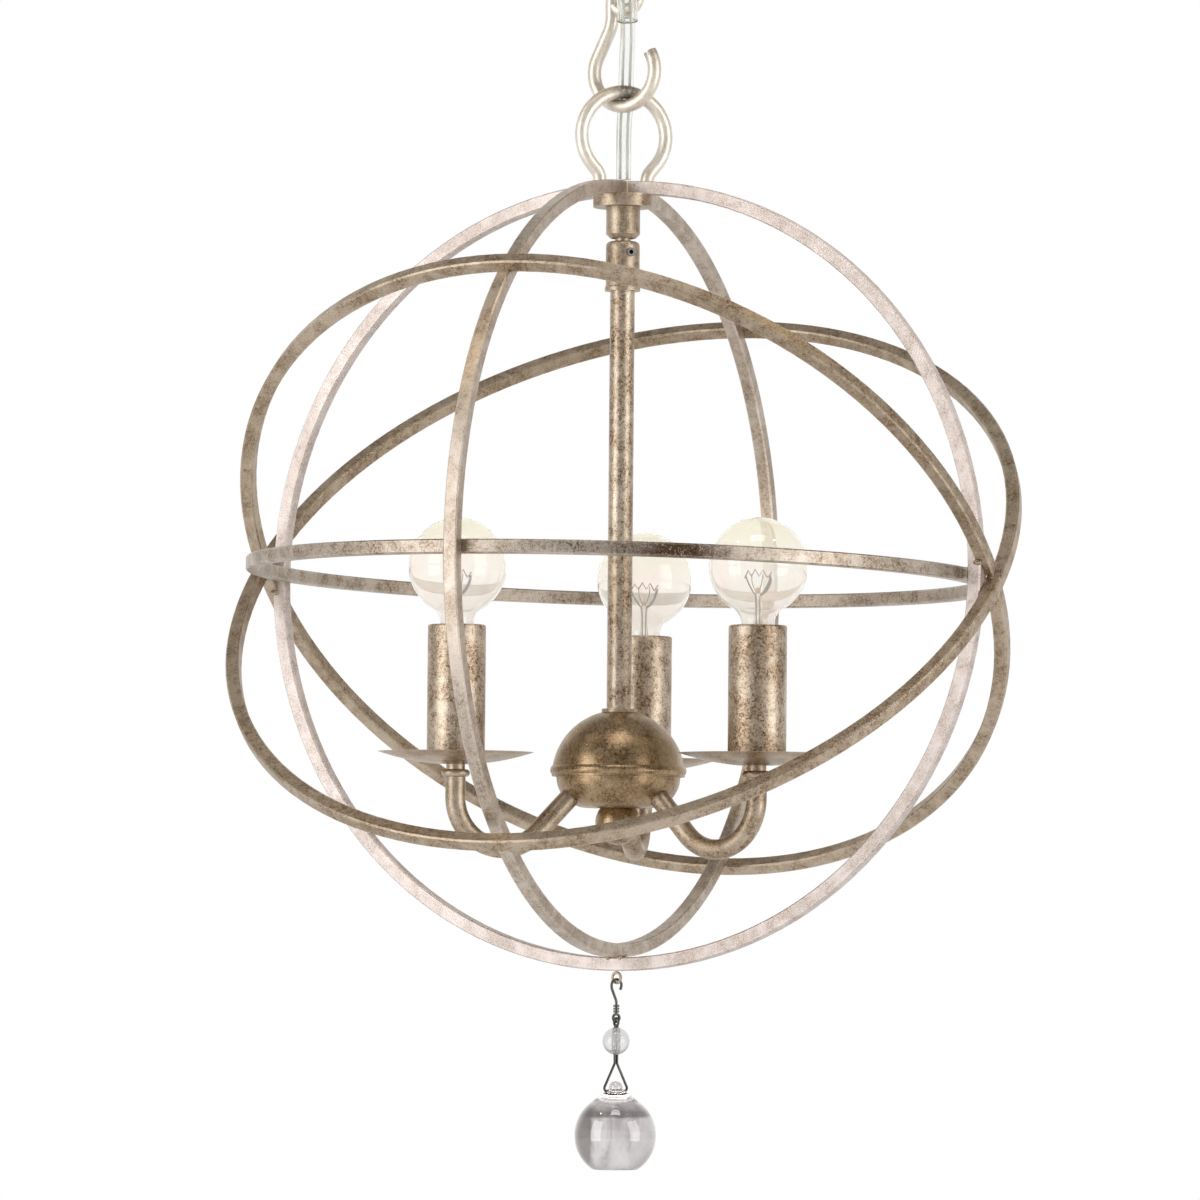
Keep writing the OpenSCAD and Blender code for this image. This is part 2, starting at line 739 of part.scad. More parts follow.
module stem_coupling() {
    color(finish_color) difference() {
        union() {
            translate([0, 0, coupling_low]) round_top(coupling_h, coupling_dia / 2, shoulder_round);
            translate([0, 0, coupling_low]) cylinder(h = lip_h / 2, d = coupling_lip_dia);
            translate([0, 0, coupling_low + lip_h / 2]) rotate_extrude()
                translate([coupling_lip_dia / 2 - lip_h / 2, 0]) circle(d = lip_h);
        }
        translate([0, 0, coupling_top - neck_sink - seat])
            cylinder(h = neck_sink + over, d = neck_dia + 2 * seat);
        translate([0, 0, coupling_low - over]) cylinder(h = coupling_h, d = wire_way);
        translate([0, 0, coupling_low - over]) cylinder(h = stem_sink + over, d = stem_dia + 2 * seat);
        translate([0, 0, screw_z]) rotate([0, 90, screw_turn])
            cylinder(h = coupling_dia, d = set_screw_dia + 2 * seat);
    }
}

module set_screw() {
    color(dark_color) translate([0, 0, screw_z]) rotate([0, 90, screw_turn]) difference() {
        translate([0, 0, neck_dia / 2 + seat])
            cylinder(h = (coupling_dia - neck_dia) / 2 + screw_proud, d = set_screw_dia);
        translate([0, 0, coupling_dia / 2 - 2]) cylinder(h = 4, d = screw_socket, $fn = 6);
    }
}

module stem_tube() {
    color(finish_color) translate([0, 0, collar_top + seat])
        tube(coupling_low + stem_sink - seat - collar_top - seat, stem_dia, stem_in);
}

module stem_collar() {
    color(finish_color) translate([0, 0, collar_top - stem_collar_h])
        tube(stem_collar_h, stem_collar_dia, rod_dia + 2 * seat);
}

// The round space from the seam up, cut flat at its top
module dome_form(r, flat) {
    intersection() {
        translate([0, 0, seam_z]) sphere(r = r);
        translate([0, 0, seam_z]) cylinder(h = flat - seam_z, r = 2 * dome_r);
    }
}

module body_upper_shell() {
    color(finish_color) difference() {
        union() {
            dome_form(dome_r, dome_flat);
            translate([0, 0, seam_z + rim_bead_r]) rotate_extrude()
                translate([dome_r - rim_bead_r + rim_proud, 0]) circle(r = rim_bead_r);
        }
        dome_form(dome_r - shell_wall, dome_flat - shell_wall);
        translate([0, 0, seam_z - over]) cylinder(h = dome_r + 2 * over, d = rod_dia + 2 * seat);
    }
}

// The lower shell's solid form, made smaller by a wall thickness for its hollow
module bowl_form(less) {
    round = bowl_round - less;
    rotate_extrude() translate([bowl_flat, 0]) intersection() {
        circle(r = round);
        translate([0, -round]) square(round);
    }
    translate([0, 0, -round]) cylinder(h = round, r = bowl_flat);
}

// The straight line of each arm into the body, as a cylinder
module arm_line(d, i) {
    rotate([0, 0, arm_turn + i * 120])
        translate([bend_end_r, 0, arm_low + arm_bend - arm_bend * cos(arm_slope)])
            rotate([0, arm_slope - 90, 0]) cylinder(h = arm_run + seat, d = d);
}

module body_lower_shell() {
    color(finish_color) difference() {
        translate([0, 0, bowl_top]) bowl_form(0);
        difference() {
            translate([0, 0, bowl_top]) bowl_form(shell_wall);
            translate([0, 0, bowl_low - over]) cylinder(h = over + shell_wall, r = bowl_r);
        }
        translate([0, 0, bowl_low - over]) cylinder(h = 2 * bowl_round, d = rod_dia + 2 * seat);
        for (i = [0:2]) arm_line(arm_dia + 2 * seat, i);
    }
}

module body_rod() {
    color(dark_color) translate([0, 0, bowl_low - rod_sink])
        cylinder(h = collar_top + rod_up - bowl_low + rod_sink, d = rod_dia);
}

module arm_core() {
    color(dark_color) difference() {
        translate([0, 0, core_low]) cylinder(h = core_h, r = core_r);
        translate([0, 0, core_low - over]) cylinder(h = core_h + 2 * over, d = rod_dia + 2 * seat);
        for (i = [0:2]) arm_line(arm_dia + 2 * seat, i);
    }
}

module finial() {
    color(finish_color) difference() {
        intersection() {
            translate([0, 0, finial_z]) sphere(r = finial_r);
            translate([0, 0, bowl_low - seat - 2 * finial_r]) cylinder(h = 2 * finial_r, r = 2 * finial_r);
        }
        translate([0, 0, bowl_low - rod_sink - seat]) cylinder(h = rod_sink + over, d = rod_dia + 2 * seat);
    }
}

module arm(i) {
    color(finish_color) rotate([0, 0, arm_turn + i * 120]) translate([arm_reach, 0, arm_top_z])
        rotate([180, 0, 0]) difference() {
            wire(arm_dia, [[arm_up, arm_bend, -(90 + arm_slope)], [arm_run, 1, 0]]);
            translate([0, 0, -over])
                wire(arm_in, [[arm_up + over, arm_bend, -(90 + arm_slope)], [arm_run + over, 1, 0]]);
        }
}

// Places a child on the axis of candle i
module candle(i) {
    rotate([0, 0, arm_turn + i * 120]) translate([arm_reach, 0, 0]) children();
}

module check_ring(i) {
    color(finish_color) candle(i) translate([0, 0, check_z]) difference() {
        union() {
            translate([0, 0, check_h / 2]) rotate_extrude()
                translate([(check_dia - check_h) / 2, 0]) circle(d = check_h);
            cylinder(h = check_h, d = check_dia - check_h);
            cylinder(h = check_h + check_neck, d = check_neck_dia);
        }
        translate([0, 0, -over]) cylinder(h = check_h + check_neck + 2 * over, d = socket_stem_dia + 2 * seat);
    }
}

module dish(i) {
    color(finish_color) candle(i) translate([0, 0, dish_z]) difference() {
        union() {
            difference() {
                intersection() {
                    translate([0, 0, dish_c]) sphere(r = dish_r);
                    cylinder(h = dish_rise, r = dish_dia);
                }
                translate([0, 0, dish_c]) sphere(r = dish_r - dish_wall);
            }
            cylinder(h = dish_wall, r = dish_flat);
        }
        translate([0, 0, -over]) cylinder(h = dish_rise, d = socket_stem_dia + 2 * seat);
    }
}

module candle_sleeve(i) {
    color(finish_color) candle(i) translate([0, 0, sleeve_z]) difference() {
        round_top(sleeve_len, sleeve_r, sleeve_wall);
        translate([0, 0, -over]) cylinder(h = sleeve_len - sleeve_wall + over, r = sleeve_r - sleeve_wall);
        cylinder(h = sleeve_len + over, d = sleeve_mouth);
    }
}

module lamp_socket(i) {
    color("#e9e4d8") candle(i) difference() {
        union() {
            translate([0, 0, socket_low]) round_top(socket_len, socket_dia / 2, 1);
            translate([0, 0, dish_z + dish_wall + seat])
                cylinder(h = socket_low - dish_z - dish_wall, d = socket_leg_dia);
            translate([0, 0, arm_top_z - socket_sink])
                cylinder(h = socket_low - arm_top_z + socket_sink, d = socket_stem_dia);
        }
        translate([0, 0, base_top - base_len - base_tip - over])
            cylinder(h = base_len + base_tip + 2 * over, r = base_dia / 2 + base_play);
    }
}

// A bulb's outline as a solid: globe, flare and neck
module bulb_form(less) {
    sphere(r = bulb_r - less);
    translate([0, 0, seat - bulb_stem]) cylinder(h = bulb_stem - bulb_r / 2, r = neck_r - less);
    translate([0, 0, -flare_z]) difference() {
        cylinder(h = flare_z * bulb_flare / (bulb_r + bulb_flare) + less,
                 r = flare_r * bulb_r / (bulb_r + bulb_flare) - less);
        rotate_extrude() translate([flare_r, 0]) circle(r = bulb_flare + less);
    }
}

module bulb_glass(i) {
    color(glass_color) candle(i) translate([0, 0, bulb_z]) difference() {
        bulb_form(0);
        bulb_form(glass_wall);
        translate([0, 0, -bulb_stem]) cylinder(h = bulb_stem / 2, r = neck_r - glass_wall);
    }
}

module bulb_base(i) {
    color("#b9a36a") candle(i) {
        translate([0, 0, base_top - base_len]) cylinder(h = base_len, d = base_dia);
        translate([0, 0, base_top - base_flange]) cylinder(h = base_flange, r = neck_r - 1);
        translate([0, 0, base_top - base_len - base_tip + link_gap])
            cylinder(h = base_tip, r = tip_r);
    }
}

// A lamp filament: a zigzag on two bent leads above a glass stem
module filament(i) {
    stem_h = bulb_stem * stem_share;
    lead_low = base_top + stem_h;
    lead_top = bulb_z + lead_up;
    step = 2 * lead_out / zigs;
    tilt = atan((lead_out - lead_in) / (lead_top - lead_low));
    color("#c9b98f") candle(i) rotate([0, 0, filament_turn - arm_turn - i * 120]) {
        translate([0, 0, base_top + seat]) cylinder(h = stem_h, r = glass_stem_r);
        for (side = [-1, 1])
            translate([side * lead_in, 0, lead_low - 1]) rotate([0, side * tilt, 0])
                cylinder(h = norm([lead_out - lead_in, lead_top - lead_low]) + 1, d = lead_dia, $fn = 16);
        for (k = [0:zigs - 1]) {
            rise = k % 2 == 0 ? 1 : -1;
            translate([k * step - lead_out, 0, lead_top - rise * zig_h / 2])
                rotate([0, 90 - rise * atan(zig_h / step), 0])
                    cylinder(h = norm([zig_h, step]), d = filament_dia, $fn = 16);
        }
    }
}

module drop_hook() {
    color(wire_color) rotate([0, 0, drop_turn]) {
        translate([0, 0, drop_eye_z]) wire_ring(link_r, link_wire);
        translate([0, 0, drop_eye_z + link_r])
            wire(link_wire, [[wrap_h + link_wire, jog_bend, -jog_slope],
                             [jog_run, jog_bend, jog_slope],
                             [drop_hook_len - link_r - wrap_h - link_wire - jog_h, drop_hook_r, 200],
                             [link_wire, 1, 0]]);
        for (k = [0:wrap_n - 1])
            translate([0, 0, drop_eye_z + link_r + link_wire * (k + 0.6)])
                cylinder(h = link_wire * 0.8, d = link_wire * 2.2);
    }
}

module glass_bead() {
    color(crystal_color) translate([0, 0, bead_z]) difference() {
        sphere(d = bead_dia);
        translate([0, 0, -bead_dia]) cylinder(h = 2 * bead_dia, d = bead_hole);
    }
}

module crystal_bail() {
    color(wire_color) rotate([0, 0, drop_turn]) {
        translate([0, 0, bail_ring_z]) rotate([0, 0, 90]) wire_ring(link_r, link_wire);
        for (side = [0, 180])
            rotate([0, 0, side]) translate([strand_x, 0, bail_ring_z - link_r]) rotate([180, 0, 0])
                wire(strand_dia, [[bail_ring_z - link_r - bail_bend_z, bail_bend, bail_slope],
                                  [bail_run, foot_bend, -(90 + bail_slope)],
                                  [foot_len, 1, 0]]);
    }
}

module crystal_drop() {
    color(crystal_color) rotate([0, 0, drop_turn]) translate([0, 0, crystal_z]) difference() {
        union() {
            sphere(r = crystal_r);
            translate([0, 0, crystal_r * cos(cone_tilt)])
                cylinder(h = crystal_rise + cone_top - crystal_r * cos(cone_tilt),
                         r1 = crystal_r * sin(cone_tilt),
                         r2 = shoulder_r - cone_top / tan(cone_tilt));
            translate([0, 0, crystal_rise + cone_top]) sphere(r = knob_r);
        }
        translate([0, 0, -crystal_sink - crystal_r]) cylinder(h = crystal_r, r = crystal_r);
        for (side = [-1, 1])
            translate([side * (shoulder_r - foot_hole), 0, crystal_rise]) rotate([0, side * 90, 0])
                cylinder(h = shoulder_r, r = strand_dia / 2 + foot_play);
    }
}

mounting_strap();
threaded_nipple();
strap_locknut();
canopy();
canopy_loop();
loop_collar();
cord_bushing();
hook();
power_cord();
cord_sleeve();
suspension_loop();
top_hub();
ring_upright_outer();
ring_upright_inner();
ring_level();
ring_tilted_inner();
ring_tilted_outer();
eyelet();
swivel_cup();
swivel_ball();
stem_coupling();
set_screw();
stem_tube();
stem_collar();
body_upper_shell();
body_lower_shell();
body_rod();
arm_core();
finial();
arm(0);  // arm_1
arm(1);  // arm_2
arm(2);  // arm_3
check_ring(0);  // check_ring_1
check_ring(1);  // check_ring_2
check_ring(2);  // check_ring_3
dish(0);  // dish_1
dish(1);  // dish_2
dish(2);  // dish_3
candle_sleeve(0);  // candle_sleeve_1
candle_sleeve(1);  // candle_sleeve_2
candle_sleeve(2);  // candle_sleeve_3
lamp_socket(0);  // lamp_socket_1
lamp_socket(1);  // lamp_socket_2
lamp_socket(2);  // lamp_socket_3
bulb_glass(0);  // bulb_glass_1
bulb_glass(1);  // bulb_glass_2
bulb_glass(2);  // bulb_glass_3
bulb_base(0);  // bulb_base_1
bulb_base(1);  // bulb_base_2
bulb_base(2);  // bulb_base_3
filament(0);  // filament_1
filament(1);  // filament_2
filament(2);  // filament_3
drop_hook();
glass_bead();
crystal_bail();
crystal_drop();
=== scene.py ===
"""Looks of the mini chandelier: camera, cord, finishes, glass, welds and light."""
import math

import bmesh
import bpy
import numpy as np
from mathutils import Matrix, Vector, noise


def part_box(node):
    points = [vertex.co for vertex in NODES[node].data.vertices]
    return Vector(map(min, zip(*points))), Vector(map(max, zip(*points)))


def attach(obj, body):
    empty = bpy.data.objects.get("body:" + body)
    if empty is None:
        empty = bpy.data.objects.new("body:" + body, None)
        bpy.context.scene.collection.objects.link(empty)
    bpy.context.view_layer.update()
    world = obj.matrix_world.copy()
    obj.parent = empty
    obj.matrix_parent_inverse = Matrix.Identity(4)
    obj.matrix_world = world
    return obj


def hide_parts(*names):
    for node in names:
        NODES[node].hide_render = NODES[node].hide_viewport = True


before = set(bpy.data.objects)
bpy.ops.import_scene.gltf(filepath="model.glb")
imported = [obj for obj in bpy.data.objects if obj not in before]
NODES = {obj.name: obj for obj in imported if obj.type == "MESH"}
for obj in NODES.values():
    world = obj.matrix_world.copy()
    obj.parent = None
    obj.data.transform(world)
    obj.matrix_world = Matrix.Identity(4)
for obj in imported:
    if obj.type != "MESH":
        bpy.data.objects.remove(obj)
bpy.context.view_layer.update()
MM = 0.001

# Places, worked out from the frame
ring_low, ring_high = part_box("ring_upright_outer")
BAR = ring_high.y - ring_low.y
CAGE = Vector((0, 0, (ring_high.z + ring_low.z) / 2))
BOSS_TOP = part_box("top_hub")[1].z
HOOK_WIRE = 7 * MM
HOOK_RISE = 56.8 * MM
HOOK_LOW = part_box("hook")[0].z + HOOK_WIRE / 2
HOOK_EYE = HOOK_LOW + HOOK_RISE
LOOP_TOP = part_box("suspension_loop")[1].z - HOOK_WIRE / 2
CANOPY_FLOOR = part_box("canopy")[0].z
BUSHING_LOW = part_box("cord_bushing")[0].z
FLOOR_Z = -2.4

# The photograph's view: the way to the camera and the way to its right, along the ground
VIEW_AZIMUTH = math.radians(26.854)
FRONT = Vector((math.sin(VIEW_AZIMUTH), -math.cos(VIEW_AZIMUTH), 0))
RIGHT = Vector((-FRONT.y, FRONT.x, 0))


def place_camera():
    """The photograph's view: slightly below the cage's centre, from the front and right."""
    azimuth, elevation, roll = VIEW_AZIMUTH, math.radians(-2.776), math.radians(0.504)
    distance, shift_right, shift_up = 3.4288, 0.0103, 0.0127
    forward = Vector((-math.sin(azimuth) * math.cos(elevation),
                      math.cos(azimuth) * math.cos(elevation), -math.sin(elevation)))
    level = Vector((math.cos(azimuth), math.sin(azimuth), 0))
    upright = level.cross(forward)
    right = level * math.cos(roll) + upright * math.sin(roll)
    up = upright * math.cos(roll) - level * math.sin(roll)
    data = bpy.data.cameras.new("camera")
    data.lens = 200.24
    data.sensor_width = 36
    data.clip_start = 0.1
    data.clip_end = 50
    camera = bpy.data.objects.new("camera", data)
    bpy.context.scene.collection.objects.link(camera)
    turn = Matrix((right, up, -forward)).transposed().to_4x4()
    place = CAGE - right * shift_right - up * shift_up - forward * distance
    camera.matrix_world = Matrix.Translation(place) @ turn
    bpy.context.scene.camera = camera
    return camera


# Mesh helpers
def mesh_object(name, bm, body=None, smooth=True):
    """Puts a finished mesh in the scene, riding a body where one is given."""
    mesh = bpy.data.meshes.new(name)
    bm.normal_update()
    bm.to_mesh(mesh)
    bm.free()
    if smooth:
        mesh.polygons.foreach_set("use_smooth", [True] * len(mesh.polygons))
    obj = bpy.data.objects.new(name, mesh)
    bpy.context.scene.collection.objects.link(obj)
    if body:
        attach(obj, body)
    return obj


def spline(points, steps=8):
    """A smooth line through the points."""
    pts = [Vector(p) for p in points]
    ends = [pts[0] * 2 - pts[1]] + pts + [pts[-1] * 2 - pts[-2]]
    line = []
    for i in range(1, len(ends) - 2):
        a, b, c, d = ends[i - 1:i + 3]
        for k in range(steps):
            t = k / steps
            line.append(0.5 * (2 * b + (c - a) * t + (2 * a - 5 * b + 4 * c - d) * t * t
                               + (3 * b - a - 3 * c + d) * t * t * t))
    line.append(pts[-1])
    return line


def section_ways(line, i, across):
    """The broad and the thin way of a section at one point of a line."""
    last = len(line) - 1
    ahead = (line[min(i + 1, last)] - line[max(i - 1, 0)]).normalized()
    broad = ahead.cross(Vector(across(i / last))).normalized()
    return broad, ahead.cross(broad)


def sweep(bm, line, outline, across, caps=True, width=None):
    """Sweeps a closed outline, given as (broad, thin) pairs, along the line."""
    rings = []
    for i, point in enumerate(line):
        broad, thin = section_ways(line, i, across)
        grow = width(i / (len(line) - 1)) if width else 1
        rings.append([bm.verts.new(point + (broad * u + thin * v) * grow) for u, v in outline])
    n = len(outline)
    for a, b in zip(rings, rings[1:]):
        for k in range(n):
            bm.faces.new((a[k], b[k], b[(k + 1) % n], a[(k + 1) % n]))
    if caps:
        bm.faces.new(rings[0])
        bm.faces.new(list(reversed(rings[-1])))
    return rings


def circle(radius, sides):
    """A round outline for a sweep."""
    return [(radius * math.cos(math.tau * k / sides), radius * math.sin(math.tau * k / sides))
            for k in range(sides)]


# Cord
CORD_HALF_WIDTH = 4 * MM
CORD_HALF_THICKNESS = 1.9 * MM


def cord_points():
    """The cord's route and its sleeve's route, in metres, as in the part's source."""
    def at(x, y, z):
        return Vector((x * MM, y * MM, z))

    low = [at(0, 0, BOSS_TOP + 0.8 * MM), at(0, 0, BOSS_TOP + 6 * MM), at(-0.3, 0.6, BOSS_TOP + 14 * MM),
           at(-1.6, 3.1, BOSS_TOP + 22 * MM), at(-3, 6.2, LOOP_TOP - 16 * MM),
           at(-3.4, 8, LOOP_TOP - 8 * MM), at(-3.2, 8.2, LOOP_TOP), at(-1.8, 5.8, LOOP_TOP + 9 * MM),
           at(0.6, 1.6, LOOP_TOP + 18 * MM), at(3.4, -3.4, HOOK_EYE - 23 * MM),
           at(5.4, -7.6, HOOK_EYE - 14 * MM)]
    high = [at(6.4, -10.6, HOOK_EYE - 4 * MM), at(6.6, -14.6, HOOK_EYE + 6 * MM),
            at(3, -18, CANOPY_FLOOR - 11 * MM), at(-0.6, -19, CANOPY_FLOOR - 5 * MM),
            at(-1, -19, BUSHING_LOW - 1.6 * MM)]
    return low, high


def cord_facing(t):
    """Which way the flat cord faces, from the hub at 0 to the bushing at 1."""
    turn = math.radians(-18 + 40 * t)
    return (-0.45 * math.cos(turn) - 0.89 * math.sin(turn),
            0.89 * math.cos(turn) - 0.45 * math.sin(turn), 0.2)


def build_jacket(line):
    """The flat clear jacket, an oval with a waist between its two conductors."""
    outline = []
    sides = 40
    for k in range(sides):
        a = math.tau * k / sides
        waist = 1 - 0.24 * math.exp(-(math.cos(a) / 0.22) ** 2)
        outline.append((CORD_HALF_WIDTH * math.cos(a), CORD_HALF_THICKNESS * math.sin(a) * waist))
    bm = bmesh.new()
    sweep(bm, line, outline, cord_facing)
    jacket = mesh_object("cord_jacket", bm, "hook")
    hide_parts("power_cord")
    return jacket


def build_core(name, line, side):
    """One conductor: strands wound round a straight one, half-way out in the jacket."""
    wound = 6
    steps_in_a_turn = 26
    strand_r, wound_r = 0.3 * MM, 0.62 * MM
    bm = bmesh.new()
    for k in range(wound + 1):
        reach = 0 if k == wound else wound_r
        path = []
        for i, point in enumerate(line):
            broad, thin = section_ways(line, i, cord_facing)
            turn = math.tau * (k / wound + i / steps_in_a_turn)
            path.append(point + broad * (side * CORD_HALF_WIDTH * 0.5 + reach * math.cos(turn))
                        + thin * (reach * math.sin(turn)))
        sweep(bm, path[1:-1], circle(strand_r, 8), cord_facing)
    core = mesh_object(name, bm, "hook")
    return core


def build_sleeve(line):
    """The clear sleeve, a tube with open ends."""
    sides = 36
    outer_r, inner_r = 5.3 * MM, 4.7 * MM
    bm = bmesh.new()
    outer = sweep(bm, line, circle(outer_r, sides), cord_facing, caps=False)
    inner = sweep(bm, line, circle(inner_r, sides), cord_facing, caps=False)
    for end in (0, -1):
        for k in range(sides):
            n = (k + 1) % sides
            bm.faces.new((outer[end][k], outer[end][n], inner[end][n], inner[end][k]))
    bmesh.ops.recalc_face_normals(bm, faces=bm.faces)
    sleeve = mesh_object("cord_clear_sleeve", bm, "hook")
    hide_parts("cord_sleeve")
    return sleeve


def build_cord():
    """A clear flat jacket over two tinned conductors, and its clear sleeve above."""
    low, high = cord_points()
    steps = 8
    line = spline(low + high, steps)
    jacket = build_jacket(line)
    cores = [build_core("cord_core_left", line, -1), build_core("cord_core_right", line, 1)]
    sleeve = build_sleeve(line[(len(low) - 1) * steps:])
    return jacket, sleeve, cores


# Weld beads
def ring_frame(name):
    """A ring's centre, axis and radius, worked out from its mesh."""
    mesh = NODES[name].data
    points = np.empty(len(mesh.vertices) * 3)
    mesh.vertices.foreach_get("co", points)
    points = points.reshape(-1, 3)
    far = np.linalg.norm(points - np.array(CAGE), axis=1)
    points = points[far > 0.9 * far.max()]
    low, high = points.min(axis=0), points.max(axis=0)
    centre = (low + high) / 2
    axis = np.linalg.svd(points - centre, full_matrices=False)[2][2]
    radius = np.linalg.norm(points - centre, axis=1)
    return Vector(centre), Vector(axis), (radius.min() + radius.max()) / 2


def crossings(one, two):
    """Where two rings' bars touch: the place, the way outwards and both bars' directions."""
    found = []
    (c1, n1, r1), (c2, n2, r2) = ring_frame(one), ring_frame(two)
    line = n1.cross(n2).normalized()
    for side in (-1, 1):
        out = line * side
        p1 = c1 + out * r1
        p2 = c2 + (p1 - c2 - n2 * (p1 - c2).dot(n2)).normalized() * r2
        if (p1 - p2).length < BAR * 1.2:
            found.append(((p1 + p2) / 2, out, n1.cross(out), n2.cross(out)))
    return found


def weld_lump(bm, centre, axes, sizes, seed):
    """A lump of weld metal: a rounded form with ripples and a melted, uneven skin."""
    made = bmesh.ops.create_icosphere(bm, subdivisions=3, radius=1)["verts"]
    shift = Vector((seed * 3.7, seed * 1.9, seed * 5.3))
    for vert in made:
        p = vert.co.copy()
        swell = 1 + 0.16 * noise.noise(p * 1.6 + shift) + 0.07 * math.sin(p.x * 9 + seed)
        vert.co = centre + sum((axis * (size * p[i] * swell)
                                for i, (axis, size) in enumerate(zip(axes, sizes))), Vector())


def build_welds():
    """Four lumps at each place where two of these rings touch, one in each corner, except near the top hub.
    """
    pairs = [("ring_upright_outer", "ring_tilted_inner"), ("ring_tilted_inner", "ring_tilted_outer"),
             ("ring_upright_inner", "ring_tilted_inner"), ("ring_upright_inner", "ring_upright_outer")]
    away_size, side_size, out_size = 2.1, 1.5, 2.3
    hub_reach = 20 * MM
    bm = bmesh.new()
    seed = 0
    for one, two in pairs:
        for place, out, along_1, along_2 in crossings(one, two):
            if place.z > BOSS_TOP - hub_reach:
                continue
            slant = abs(along_1.cross(along_2).dot(out))
            small = 0.62 if slant > 0.9 else 1
            for s1, s2 in ((1, 1), (1, -1), (-1, 1), (-1, -1)):
                seed += 1
                corner = (along_1 * s1 + along_2 * s2) * (BAR / 2 / slant)
                away = corner.normalized()
                spot = place + corner * 0.96
                weld_lump(bm, spot, (away, out.cross(away), out),
                          [size * small * MM for size in (away_size, side_size, out_size)], seed)
    welds = mesh_object("ring_welds", bm, "cage")
    return welds


# Insides of the bulbs
def build_filament(i):
    """A zigzag wire on two leads, the glass stem that holds them, and its brass parts.

    The numbers are millimetres from the globe's centre.
    """
    low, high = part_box(f"bulb_glass_{i}")
    radius = (high.x - low.x) / 2
    centre = Vector(((low.x + high.x) / 2, (low.y + high.y) / 2, high.z - radius))
    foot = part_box(f"bulb_base_{i}")[1].z - centre.z
    turn = math.radians(18 + 9 * i)
    broad = Vector((math.cos(turn), math.sin(turn), 0))
    side = Vector((-math.sin(turn), math.cos(turn), 0))

    def at(x, z, y=0):
        return centre + broad * (x * MM) + side * (y * MM) + Vector((0, 0, z * MM))

    def along(_t):
        return side

    reach, rise, zigs = 7.2, 3.4, 7
    lead_r, prop_r, zigzag_r, hook_r = 0.42 * MM, 0.24 * MM, 0.4 * MM, 0.7 * MM
    stem_top = -13.5
    foot_z = foot / MM
    wires = bmesh.new()
    for way in (-1, 1):
        lead = [at(way * 1.2, foot_z), at(way * 1.3, stem_top - 3), at(way * 2.4, stem_top),
                at(way * 5.4, -9, way), at(way * reach, -4.5, way)]
        sweep(wires, spline(lead, 5), circle(lead_r, 8), along)
        prop = [at(way * 0.6, stem_top, 1), at(way * 2.6, -8, 2), at(way * 2.9, -3.6, 1)]
        sweep(wires, spline(prop, 5), circle(prop_r, 6), along)
    zigzag = []
    for k in range(zigs + 1):
        t = k / zigs
        up = rise / 2 if k % 2 else -rise / 2
        zigzag.append(at((2 * t - 1) * reach, -3 + up - 1.5 * (2 * t - 1) ** 2, 2 * math.sin(math.pi * t)))
    sweep(wires, zigzag, circle(zigzag_r, 6), along)
    hook = [at(1.3, stem_top - 1), at(4.2, stem_top + 1.5, -1), at(6.2, stem_top + 6, -1), at(6.6, -4.8, 1)]
    sweep(wires, spline(hook, 5), circle(hook_r, 8), along)
    wires = mesh_object(f"filament_wires_{i}", wires, f"bulb_{i}")
    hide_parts(f"filament_{i}")

    stem = bmesh.new()
    line = [at(0, foot_z + (stem_top - foot_z) * k / 12) for k in range(13)]
    sweep(stem, line, circle(2.5 * MM, 24), along, width=lambda t: 1.25 - 1.1 * t + 0.5 * t ** 4)
    stem = mesh_object(f"filament_stem_{i}", stem, f"bulb_{i}")

    brass = bmesh.new()
    bead = bmesh.ops.create_icosphere(brass, subdivisions=2, radius=1.4 * MM)["verts"]
    bmesh.ops.translate(brass, verts=bead, vec=at(0, stem_top + 1.5))
    sweep(brass, [at(0, foot_z), at(0, foot_z + 4)], circle(1.8 * MM, 16), along)
    brass = mesh_object(f"filament_brass_{i}", brass, f"bulb_{i}")
    return wires, stem, brass


# Shader nodes
class Nodes:
    """A node tree with short ways to add and join its nodes."""

    def __init__(self, tree):
        self.tree = tree

    def add(self, kind, values=None, **settings):
        node = self.tree.nodes.new(kind)
        for key, value in settings.items():
            setattr(node, key, value)
        for key, value in (values or {}).items():
            self.feed(node.inputs[key], value)
        return node

    def feed(self, socket, value):
        if isinstance(value, bpy.types.NodeSocket):
            self.tree.links.new(value, socket)
        elif hasattr(value, "__len__") and len(value) == 3 and socket.type == "RGBA":
            socket.default_value = (*value, 1)
        else:
            socket.default_value = value

    def level(self, fac, low, high, to_low=0.0, to_high=1.0):
        """Stretches a value from low..high to to_low..to_high, and no further."""
        return self.add("ShaderNodeMapRange", {"Value": fac, "From Min": low, "From Max": high,
                                               "To Min": to_low, "To Max": to_high}).outputs["Result"]

    def math(self, kind, a, b=0.0):
        return self.add("ShaderNodeMath", {0: a, 1: b}, operation=kind).outputs[0]

    def vector(self, kind, a, b):
        return self.add("ShaderNodeVectorMath", {0: a, 1: b}, operation=kind).outputs

    def height(self, place):
        return self.add("ShaderNodeSeparateXYZ", {"Vector": place}).outputs["Z"]

    def blend_shaders(self, fac, one, two):
        """The first shader at 0, the second at 1."""
        return self.add("ShaderNodeMixShader", {0: fac, 1: one.outputs[0], 2: two.outputs[0]})


